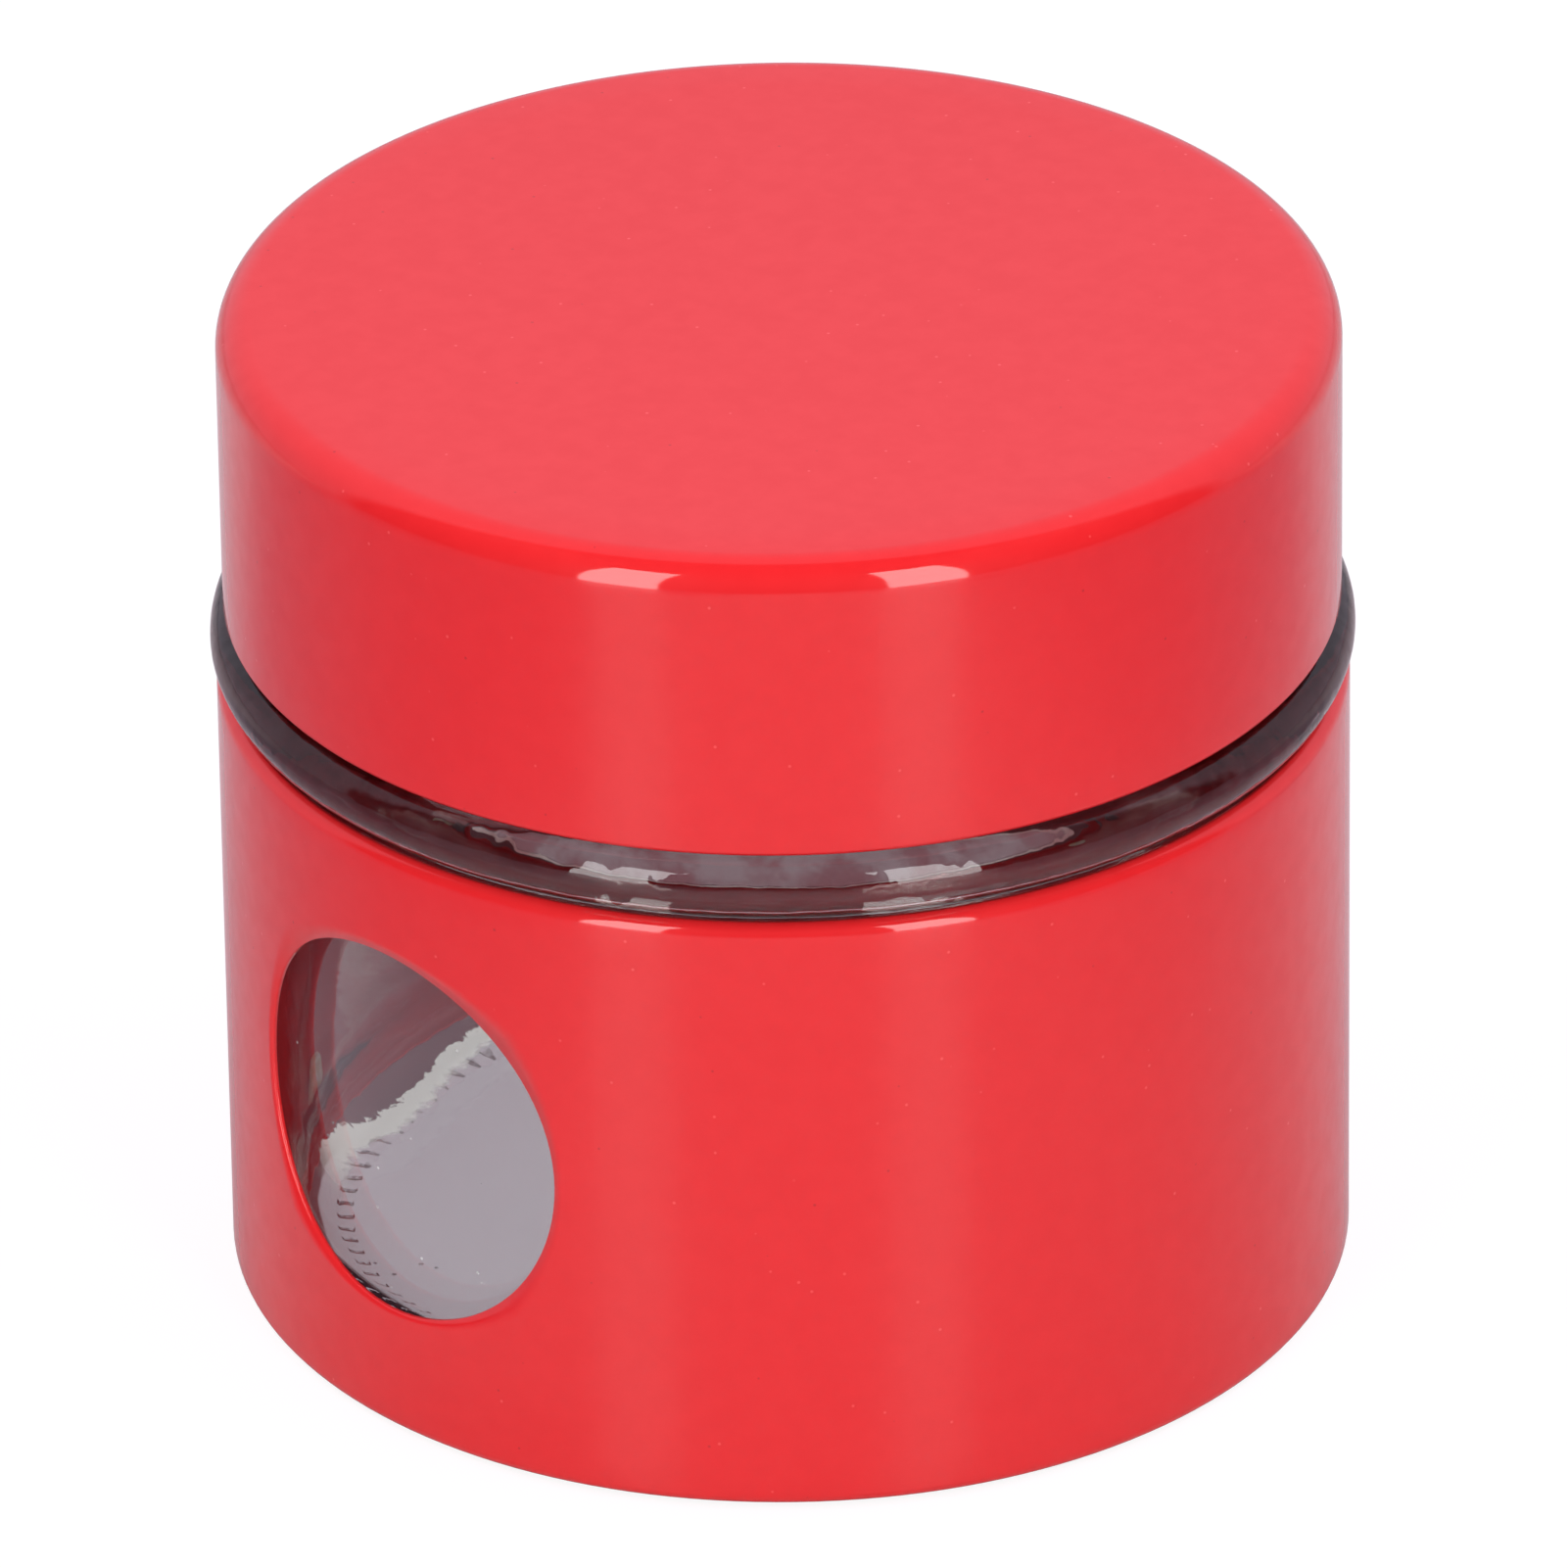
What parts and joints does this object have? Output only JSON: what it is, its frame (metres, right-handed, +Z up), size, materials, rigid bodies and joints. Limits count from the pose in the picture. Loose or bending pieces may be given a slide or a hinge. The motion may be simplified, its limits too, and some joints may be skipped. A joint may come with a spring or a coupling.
{
  "type": "tea canister",
  "caption": "Round glass tea canister in a red painted steel sleeve with a round window, and a red twist-off metal cap with a plastic liner and a silicone seal.",
  "frame": {"origin": "centre of the jar's standing ring, on the surface that it stands on", "axes": "+Z up along the jar's axis, -Y out through the middle of the window, +X to the right of someone who faces the window"},
  "size_m": [0.097, 0.097, 0.0891],
  "materials": {
    "clear_glass": "clear pressed soda-lime glass",
    "red_painted_steel": "gloss red enamel on thin steel sheet",
    "lid_plastic": "satin moulded polypropylene",
    "seal_silicone": "matt translucent white silicone",
    "adhesive": "clear flexible adhesive"
  },
  "bodies": {
    "jar": {"glass_jar": "clear_glass", "sleeve": "red_painted_steel", "adhesive_dab_1": "adhesive", "adhesive_dab_2": "adhesive", "adhesive_dab_3": "adhesive"},
    "seal": {"lid_gasket": "seal_silicone"},
    "lid": {"lid_insert": "lid_plastic", "lid_shell": "red_painted_steel"}
  },
  "joints": [
    {"name": "lid_rise", "type": "slide", "parent": "jar", "child": "seal", "axis": [0, 0, 1], "range_m": [0, 0.026]},
    {"name": "lid_turn", "type": "hinge", "parent": "seal", "child": "lid", "pos_m": [0, 0, 0.0621], "axis": [0, 0, 1], "range_deg": [0, 576]}
  ],
  "couplings": [
    {"joint": "lid_rise", "follows": "lid_turn", "m_per_rad": 0.0025465}
  ]
}
